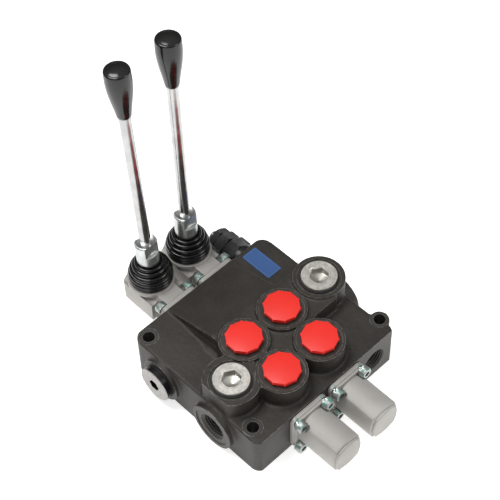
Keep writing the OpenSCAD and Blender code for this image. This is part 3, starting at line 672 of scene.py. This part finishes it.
screw_zinc = plated("screw_zinc")
screw = turned("X", (0, 0), [
    (2.1, 16), (2.1, 0.3), (2.3, 0), (4.25, 0), (4.25, -4.3), (4.0, -4.8), (3.6, -5)], sides=60)
shape(screw, "EDGE", lambda at, way: abs(way.x) > 0.9 and math.hypot(at.y, at.z) > 4
      and round(math.degrees(math.atan2(at.z, at.y)) / 6) % 2 == 0,
      bpy.ops.transform.resize, value=(1, 0.965, 0.965))
coat(screw, screw_zinc)
cut(screw, [hexagon("X", -6, -2.5, (0, 0), 4)])
smooth(screw, 25)
cap_seat = end_face + 5
for name, seat, half_turn in (
        ("lever_housing_screws", lever_face - flange_thick, 0), ("end_cap_screws", cap_seat, math.pi)):
    copies = []
    for spool in spools:
        for y, z in screw_places(spool):
            copy = twin(screw)
            copy.rotation_euler = (0.7 * len(copies), 0, half_turn)
            copy.location = [c * mm for c in (seat, y, z)]
            copies.append(settle(copy))
    screws = join(copies)
    screws.name = name + "_turned"
    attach(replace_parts(screws, name), "valve")
bpy.data.objects.remove(screw)


# Lever feet. A forged, zinc-plated foot carries the ball in the spool, the hub on the pivot pin, and
# above the boot a round socket with two wrench flats that holds the rod.
# How far each lever leans at rest, in degrees: to the -Y side, and towards the lever end
LEAN = {1: (0.65, 1.9), 2: (-0.65, 1.4)}


def on_lever(piece, number):
    """Leans a piece that stands on the origin into the line of its lever."""
    piece.rotation_euler = (math.radians(LEAN[number][0]), math.radians(-LEAN[number][1]), 0)
    piece.location = middle(f"lever_pin_{number}") * mm
    return settle(piece)


foot_zinc = drawn_steel("foot_zinc", (0.46, 0.48, 0.47, 1), (0.70, 0.72, 0.71, 1), 0.24, 0.95, grain=500.0)
for number in LEAN:
    pivot = middle(f"lever_pin_{number}")
    socket = turned("Z", (0, 0), [
        (5.2, 0), (5.2, 10.5), (6.2, 11), (7.7, 11.2), (8, 11.6), (8, 36.7), (7.4, 37.4), (6.9, 37.5),
        (5.1, 36.6)])
    coat(socket, foot_zinc)
    cut(socket, [bar("Z", 24, 60, (0, 0), 4.02)])
    cut(socket, [block((side * 8.6 - 3, -10, 27.5), (side * 8.6 + 3, 10, 45)) for side in (-1, 1)])
    modify(socket, "BEVEL", width=0.25 * mm, segments=2, limit_method="ANGLE", angle_limit=math.radians(40))
    on_lever(socket, number)
    hub = bar("Y", pivot.y - 6.2, pivot.y + 6.2, (pivot.x, pivot.z), 5.3)
    shank = bar("Z", pivot.z - 15, pivot.z, pivot.xy, 2.4, sides=48)
    bpy.ops.mesh.primitive_uv_sphere_add(segments=48, ring_count=24, radius=4 * mm,
                                         location=(pivot - Vector((0, 0, 15))) * mm)
    ball = settle(bpy.context.object)
    foot = fuse([socket, hub, shank, ball])
    cut(foot, [bar("Y", pivot.y - 9, pivot.y + 9, (pivot.x, pivot.z), 3.05)])
    foot.name = f"lever_foot_{number}"
    smooth(foot, 30)
    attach(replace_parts(foot, f"lever_socket_{number}"), f"lever_{number}")


# Lever rods and knobs. Bright 8 mm rods are screwed into the feet. The knobs are glossy black
# mouldings with a tapered grip, a faint mould seam and a brass bush inside.
def moulded(name, shade, light, rough):
    """Moulded plastic: a thin coat over faint flow marks and fine scratches."""
    material, root = new_material(name)
    place = root.node("TexCoord", output=3)
    flow = root.node("TexNoise", None, {"Vector": place, "Scale": 70.0, "Detail": 3.0, "Distortion": 0.6})
    skin = root.node("TexNoise", None, {"Vector": place, "Scale": 1100.0, "Detail": 2.0})
    scuffs = root.node("TexNoise", None, {"Vector": place, "Scale": 320.0, "Detail": 6.0})
    finish_material(
        root, bump=flow * 0.7 + skin * 0.3, depth=0.00006, Base_Color=flow.tint(shade, light),
        Roughness=rough + scuffs.clamped(0.5, 0.8) * 0.12, Coat_Weight=0.05)
    return material


rod_chrome = drawn_steel(
    "rod_chrome", (0.40, 0.40, 0.40, 1), (0.56, 0.56, 0.555, 1), 0.12, scale=(1, 1, 0.02), grain=1500.0)
knob_black = moulded("knob_black", (0.004, 0.004, 0.0038, 1), (0.007, 0.007, 0.0065, 1), 0.15)
brass = drawn_steel("turned_brass", (0.45, 0.28, 0.08, 1), (0.68, 0.47, 0.17, 1), 0.22)
knob_top, knob_bottom, rod_end = 198, 158, 180
dome_r, dome_high, corner_r = 7.1, 1.4, 1.35
for number in LEAN:
    rod = turned("Z", (0, 0), [
        (3.3, 24), (4, 24.8), (4, 37.5), (4, knob_bottom - 1), (4, rod_end - 0.8), (3.3, rod_end)], sides=64)
    rod.name = f"lever_rod_bright_{number}"
    coat(rod, rod_chrome)
    smooth(on_lever(rod, number))
    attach(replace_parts(rod, f"lever_rod_{number}"), f"lever_{number}")
    # The grip widens along a smooth curve and ends in a slightly domed top
    steps = [(4.05, rod_end), (4.05, knob_bottom + 0.3), (4.4, knob_bottom), (4.8, knob_bottom + 0.5)]
    for step in range(1, 25):
        along = step / 25
        grown = math.sin(min(1, along * 1.2) * math.pi / 2) ** 1.3
        drawn_in = 0.3 * (max(0, along - 0.8) / 0.2) ** 2
        steps.append((5 + 3.75 * grown - drawn_in, knob_bottom + 1 + 36 * along))
    for step in range(1, 10):
        turn = step / 9 * math.pi / 2
        steps.append((dome_r + corner_r * math.cos(turn),
                      knob_top - dome_high - corner_r + corner_r * math.sin(turn)))
    for step in range(1, 9):
        reach = dome_r * (1 - step / 8.5)
        steps.append((reach, knob_top - dome_high * (reach / dome_r) ** 2))
    knob = turned("Z", (0, 0), steps, sides=128)
    shape(knob, "EDGE", lambda at, way: abs(way.z) > 0.5 and at.x < 0 and abs(at.y) < 0.05
          and math.hypot(at.x, at.y) > 4.9, bpy.ops.transform.resize, value=(0.985, 1, 1))
    knob.name = f"knob_{number}"
    coat(knob, knob_black)
    smooth(on_lever(knob, number), 40)
    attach(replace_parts(knob, f"lever_knob_{number}"), f"lever_{number}")
    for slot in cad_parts[f"knob_insert_{number}"].material_slots:
        slot.material = brass


# Boots. A ribbed rubber bellows closes each lever pivot. Its foot lies on the round pad of the
# housing, and its neck grips the lever foot. The boot stands upright and does not move with the lever.
boot_black = soft_rubber("boot_rubber", (0.0025, 0.0025, 0.0025, 1), 0.06)
# Each rib: the height of its crest above the pad, its radius, its upward tilt in degrees, its roundness
rib_rows = ((1.4, 15.6, 0, 1.35), (4.2, 15.8, 2, 1.45), (7.4, 15.6, 12, 1.65), (11.1, 14.3, 30, 1.9),
            (14.7, 12.1, 44, 1.85), (17.6, 10.2, 46, 1.4))
for number in LEAN:
    low, high = corners(f"lever_boot_{number}")
    outside = [(15.0, low.z)]
    for rise, crest, tilt, rib_round in rib_rows:
        tilt = math.radians(tilt)
        centre = (crest - rib_round * math.cos(tilt), low.z + rise - rib_round * math.sin(tilt) * 0.4)
        for step in range(-4, 5):
            turn = tilt + math.radians(19 * step)
            outside.append((centre[0] + rib_round * math.cos(turn),
                            centre[1] + rib_round * math.sin(turn)))
    outside = [(r, min(max(z, low.z), high.z)) for r, z in outside]
    inside = [(8.35, high.z), (8.35, high.z - 1.5), (9.2, high.z - 4), (11.0, high.z - 7.5),
              (12.6, low.z + 8), (13.0, low.z)]
    boot = turned("Z", middle(f"lever_pin_{number}").xy, outside + inside, ring=True)
    boot.name = f"bellows_{number}"
    coat(boot, boot_black)
    smooth(boot, 50)
    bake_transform(boot)
    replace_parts(boot, f"lever_boot_{number}")


# End caps. Two square-flanged aluminium die castings cover the centring springs. Their four crowned
# sides meet in soft corner lines, and the closed end is stepped in.
crown_r, cap_half, cap_flange, raised_half = 20.9, 12.8, 3.2, 14.6
for number, spool in enumerate(spools, 1):
    low, high = corners(f"end_cap_{number}")
    y, x = spool.y, low.x
    flange = block((x, y - flange_half, spool_z - flange_half),
                   (x + cap_flange, y + flange_half, spool_z + flange_half))
    raised = block((x + 1, y - raised_half, spool_z - raised_half),
                   (cap_seat, y + raised_half, spool_z + raised_half))
    for plate, radius in ((flange, 4), (raised, 3.4)):
        round_edges(plate, lambda at, way: abs(way.x) > 0.9, radius, 8)
        modify(plate, "BEVEL", width=0.5 * mm, segments=3, limit_method="ANGLE", angle_limit=math.radians(60))
    body = block((x + 3, y - cap_half, spool_z - cap_half), (high.x - 2, y + cap_half, spool_z + cap_half))
    reach = crown_r - cap_half
    for centre in ((y - reach, spool_z), (y + reach, spool_z), (y, spool_z - reach), (y, spool_z + reach)):
        cut(body, [bar("X", x, high.x + 5, centre, crown_r, sides=144)], operation="INTERSECT")
    round_edges(body, lambda at, way: abs(way.x) > 0.9
                and math.hypot(at.y - y, at.z - spool_z) > 14.25, 0.9, 4)
    # The stepped end is the same crowned block, a little smaller and 2 mm further out
    smaller = 0.89
    step = twin(body)
    step.scale = (1, smaller, smaller)
    step.location = (2 * mm, y * (1 - smaller) * mm, spool_z * (1 - smaller) * mm)
    for part in (body, settle(step)):
        round_edges(part, lambda at, way: abs(way.x) < 0.1 and at.x > high.x - 3, 1.1, 5)
    cap = fuse([flange, raised, body, step])
    cap.name = f"end_cap_casting_{number}"
    coat(cap, die_cast(f"die_cast_cap_{number}", [
        (x + 2.5, y + side * (screw_half - 0.6), spool_z + flange_half) for side in (-1, 1)]))
    holes = screw_places(spool)
    cut(cap, [bar("X", x - 1, high.x - 4, (y, spool_z), 10.6)])
    cut(cap, [bar("X", x - 1, x + 6, hole, tapped_r) for hole in holes])
    cut(cap, [turned("X", hole, [(4.7, cap_seat), (4.7, x + 10.6), (3.6, x + 11.6)]) for hole in holes])
    smooth(cap, 30)
    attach(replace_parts(cap, f"end_cap_{number}"), "valve")


# Work port caps. Four red polyethylene caps are pressed into the work ports. Each has a ten-sided
# grip with a small rib at every corner, over a round neck and a thin hollow stem.
red_plastic = moulded("red_polyethylene", (0.86, 0.020, 0.012, 1), (0.98, 0.032, 0.020, 1), 0.42)
for port_name, port in zip(("a1", "b1", "a2", "b2"), ports):
    low, high = corners(f"port_cap_{port_name}")
    grip_low, grip_r, rib_r, stem_r = high.z - 2.7, 12.7, 0.75, 7.5
    grip = turned("Z", port.xy, [(grip_r, grip_low), (grip_r, high.z)], sides=10, spin=-90)
    round_edges(grip, lambda at, way: abs(way.z) > 0.9, 0.5, 3)
    rib_turns = [math.radians(36 * corner) for corner in range(10)]
    ribs = [bar("Z", grip_low + 0.1, high.z - 0.1,
                port.xy + Vector((math.cos(turn), math.sin(turn))) * (grip_r - 0.45), rib_r, sides=16)
            for turn in rib_turns]
    cap = fuse([grip] + ribs)
    modify(cap, "BEVEL", width=0.28 * mm, segments=2, limit_method="ANGLE", angle_limit=math.radians(60))
    neck = turned("Z", port.xy, [
        (stem_r, port_boss - 9), (8.9, port_boss - 9), (9.15, port_boss - 8.6), (9.15, port_boss - 0.4),
        (11.4, port_boss - 0.4), (11.4, grip_low + 0.4), (9, grip_low + 0.4)])
    fuse([cap, neck])
    cut(cap, [bar("Z", port_boss - 10, grip_low + 0.8, port.xy, stem_r)])
    cap.name = f"transport_cap_{port_name}"
    coat(cap, red_plastic)
    smooth(cap, 35)
    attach(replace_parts(cap, f"port_cap_{port_name}"), "valve")


# Plugs. Turned steel plugs close the bores on the top and on both sides. Each has a hexagon socket;
# the top ones have a drilled socket bottom and show fine turning rings on satin zinc.
def turned_face(name, centre, axis, dark, light, rough, metal):
    """A faced end: rings round the axis, a faint radial sheen and small handling marks."""
    material, root = new_material(name)
    place = root.node("TexCoord", output=3)
    across = {"X": (0, 1, 1), "Y": (1, 0, 1), "Z": (1, 1, 0)}[axis]
    shift = [-c * mm * k for c, k in zip(centre, across)]
    centred = root.node("Mapping", None, {"Vector": place, "Location": shift, "Scale": across})
    radius = root.node("VectorMath", {"operation": "LENGTH"}, {0: centred}, "Value")
    rings = root.node("TexNoise", {"noise_dimensions": "1D"}, {"W": radius, "Scale": 2400.0, "Detail": 2.0})
    marks = root.node("TexNoise", None, {"Vector": place, "Scale": 420.0, "Detail": 5.0})
    wear = edge_wear(root, 0.0003, 0.04, 0.4)
    shade = (rings * 0.45 + marks.clamped(0.36, 0.64) * 0.55).tint(dark, light)
    finish_material(
        root, bump=rings * 0.6 + marks * 0.4, depth=0.00005,
        Base_Color=(wear * 0.6).tint(shade, (0.85, 0.84, 0.81, 1)),
        Roughness=rough + marks * 0.12, Metallic=metal)
    return material


socket_zinc = drawn_steel(
    "socket_zinc", (0.24, 0.235, 0.21, 1), (0.74, 0.73, 0.67, 1), 0.26, 0.9, grain=700.0,
    wear_tint=(0.8, 0.79, 0.75, 1))
for node, place in zip(("front_top_plug", "rear_top_plug"), top_plugs):
    low, high = corners(node)
    top = high.z
    plug = turned("Z", place.xy, [
        (8.6, low.z), (9.7, low.z + 1), (9.7, top - 2.4), (12.3, top - 2.4), (12.5, top - 2.2),
        (12.5, top - 0.45), (12.1, top), (11.3, top), (11.1, top - 0.12), (7.9, top - 0.12),
        (7.6, top - 0.35)], sides=128)
    plug.name = node + "_turned"
    satin = turned_face(
        f"satin_{node}", place, "Z", (0.52, 0.505, 0.46, 1), (0.80, 0.78, 0.725, 1), 0.34, 0.85)
    coat(plug, satin, socket_zinc)
    cut(plug, [hexagon("Z", top - 5, top + 2, place.xy, 12),
               turned("Z", place.xy, [(1, top - 6.8), (5.7, top - 4.9), (5.7, top - 4)])], skin=1)
    cut(plug, [turned("Z", place.xy, [(5, top - 1.5), (7.1, top + 0.1), (7.1, top + 1)]),
               bar("Z", low.z - 1, low.z + 5, place.xy, 4.08)])
    smooth(plug, 30)
    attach(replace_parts(plug, node), "valve")

low, high = corners("side_plug")
side_head = turned("Y", side_line, [
    (8, high.y), (9.2, high.y - 1), (9.2, side_face - 1), (12.7, side_face - 1), (13, side_face - 1.3),
    (13, low.y + 0.5), (12.5, low.y)], sides=128)
side_head.name = "side_plug_turned"
faced = turned_face(
    "faced_side_plug", (side_plug.x, 0, spool_z), "Y",
    (0.32, 0.305, 0.29, 1), (0.46, 0.445, 0.425, 1), 0.4, 0.5)
coat(side_head, faced, black_oxide)
for face in side_head.data.polygons:
    face.material_index = 0 if face.normal.y < -0.5 else 1
cut(side_head, [hexagon("Y", low.y - 1, low.y + 5.5, side_line, 8)], skin=1)
smooth(side_head, 30)
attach(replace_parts(side_head, "side_plug"), "valve")

low, high = corners("rear_side_plug")
rear_head = turned("Y", rear_line, [
    (8.2, low.y), (9.2, low.y + 1), (9.2, high.y - 0.5), (8.7, high.y)])
rear_head.name = "rear_side_plug_turned"
coat(rear_head, black_oxide)
cut(rear_head, [hexagon("Y", high.y - 5.5, high.y + 1, rear_line, 10)])
smooth(rear_head, 30)
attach(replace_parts(rear_head, "rear_side_plug"), "valve")


# Relief valve. A phosphated steel cartridge with a wrench hexagon is screwed into the lever face. The
# adjusting screw comes out of its end and is held by a black lock nut.
def wrench_hexagon(start, end, across, flats):
    """A six-sided bar along X with its corners turned down at both ends."""
    corner, flat = flats / 2 / math.cos(math.pi / 6) + 0.1, flats / 2 - 0.3
    edge = (corner - flat) * 0.56
    blank = turned("X", across, [(flat, start), (corner, start + edge), (corner, end - edge), (flat, end)])
    return cut(blank, [hexagon("X", start - 1, end + 1, across, flats)], operation="INTERSECT")


relief_low, relief_high = corners("relief_cartridge")
axis = relief.yz
adjuster_x, groove_x, collar_x, stem_x, screw_bore_r = relief_low.x, -96.4, -85.4, -63, 4.05
phosphate = drawn_steel(
    "dark_phosphate", (0.012, 0.012, 0.013, 1), (0.034, 0.034, 0.036, 1), 0.2, 0.4,
    wear_tint=(0.30, 0.30, 0.31, 1))
cartridge = fuse([
    wrench_hexagon(adjuster_x, groove_x, axis, 19), bar("X", groove_x - 0.5, groove_x + 1.1, axis, 8.6),
    wrench_hexagon(groove_x + 0.6, collar_x, axis, 21),
    turned("X", axis, [(10.6, collar_x - 0.5), (10.6, -82), (10.2, -81.2), (8.8, -81.2), (8.8, stem_x),
                       (8, stem_x + 1)]),
    bar("X", stem_x, relief_high.x, axis, 6.4)])
cut(cartridge, [bar("X", adjuster_x - 1, -85, axis, screw_bore_r),
                bar("X", -86, relief_high.x + 1, axis, 4.6)])
cartridge.name = "relief_cartridge_turned"
coat(cartridge, phosphate)
smooth(cartridge, 30)
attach(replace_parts(cartridge, "relief_cartridge"), "valve")

nut_low, nut_high = corners("relief_lock_nut")
nut = wrench_hexagon(nut_low.x, nut_high.x, axis, 17)
cut(nut, [bar("X", nut_low.x - 1, nut_high.x + 1, axis, screw_bore_r)])
nut.name = "lock_nut_turned"
coat(nut, black_oxide)
smooth(nut, 30)
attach(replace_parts(nut, "relief_lock_nut"), "lock_nut")

screw_low, screw_high = corners("relief_adjusting_screw")
adjuster = thread("X", axis, screw_low.x + 0.6, screw_high.x, 4, 3.5, 1.25)
fuse([adjuster, turned("X", axis, [(3.4, screw_low.x), (3.9, screw_low.x + 0.7), (3.4, screw_low.x + 1.2)])])
cut(adjuster, [hexagon("X", screw_low.x - 1, screw_low.x + 4, axis, 4)])
adjuster.name = "relief_screw_threaded"
coat(adjuster, foot_zinc)
smooth(adjuster, 30)
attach(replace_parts(adjuster, "relief_adjusting_screw"), "relief_screw")


# Name plate. A thin blue foil is stuck to the deck behind the lever face. It is left blank, with a
# fine lighter border and rounded corners.
def blue_foil():
    """Printed foil: a border line near the edge, a faint weave of print dots and soft handling wear."""
    material, root = new_material("blue_foil")
    place = root.node("TexCoord", output=3)
    low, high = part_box("name_plate")
    parts = [root.node("SeparateXYZ", None, {0: place}, letter) for letter in "XY"]
    gaps = [value - low[i] for i, value in enumerate(parts)]
    gaps += [high[i] - value for i, value in enumerate(parts)]
    edge = gaps[0]
    for gap in gaps[1:]:
        edge = edge.math("MINIMUM", edge, gap)
    border = edge.clamped(0.0006, 0.0007) * (1.0 - edge.clamped(0.0010, 0.0011))
    dots = root.node("TexNoise", None, {"Vector": place, "Scale": 1600.0, "Detail": 2.0})
    wear = root.node("TexNoise", None, {"Vector": place, "Scale": 160.0, "Detail": 6.0})
    ink = (dots * 0.5 + wear * 0.5).tint((0.026, 0.085, 0.26, 1), (0.045, 0.125, 0.34, 1))
    finish_material(
        root, bump=wear, depth=0.00002, Base_Color=(border * 0.45).tint(ink, (0.10, 0.22, 0.50, 1)),
        Roughness=0.34 + wear * 0.2, Coat_Weight=0.1)
    return material


low, high = corners("name_plate")
plate = block(low, high)
round_edges(plate, lambda at, way: abs(way.z) > 0.9, 1.0, 6)
round_edges(plate, lambda at, way: at.z > high.z - 0.01, 0.08, 2)
plate.name = "name_plate_foil"
coat(plate, blue_foil())
smooth(plate, 15)
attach(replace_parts(plate, "name_plate"), "valve")
